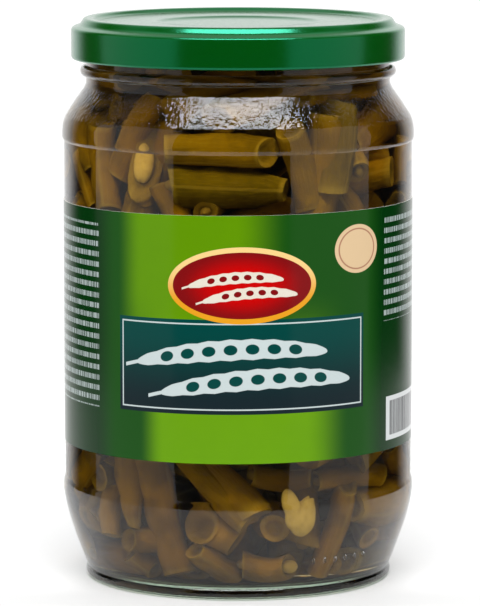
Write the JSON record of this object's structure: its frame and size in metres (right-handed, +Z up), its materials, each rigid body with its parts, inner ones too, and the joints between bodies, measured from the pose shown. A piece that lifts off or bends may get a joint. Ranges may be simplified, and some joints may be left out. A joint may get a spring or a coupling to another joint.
{
  "type": "jar of cut green beans",
  "caption": "Round glass preserving jar with a twist-off lid and a wrap-round paper label, filled with cut green bean pods in brine.",
  "frame": {"origin": "middle of the jar's foot, on the plane that it stands on", "axes": "+Z up along the jar's axis, -Y towards the front of the label"},
  "size_m": [0.0902, 0.0902, 0.1437],
  "materials": {
    "jar_glass": "clear flint glass, faintly green where it is thick",
    "lid_lacquer": "glossy green lacquer on thin tinplate",
    "sealing_compound": "soft pale sealing compound, matt",
    "brine": "clear yellow-brown brine",
    "label_paper": "coated paper, printed in greens, semi-gloss",
    "bean_skin": "wet olive-brown cooked pod skin"
  },
  "bodies": {
    "vessel": {"jar": "jar_glass", "brine": "brine", "cut_beans": "bean_skin", "label": "label_paper"},
    "seal": {"gasket": "sealing_compound"},
    "cap": {"lid": "lid_lacquer"}
  },
  "joints": [
    {"name": "lid_rise", "type": "slide", "parent": "vessel", "child": "seal", "axis": [0, 0, 1], "range_m": [0, 0.002]},
    {"name": "lid_twist", "type": "hinge", "parent": "seal", "child": "cap", "pos_m": [0, 0, 0.137], "axis": [0, 0, 1], "range_deg": [0, 40]}
  ],
  "couplings": [
    {"joint": "lid_twist", "follows": "lid_rise", "rad_per_m": 349}
  ]
}
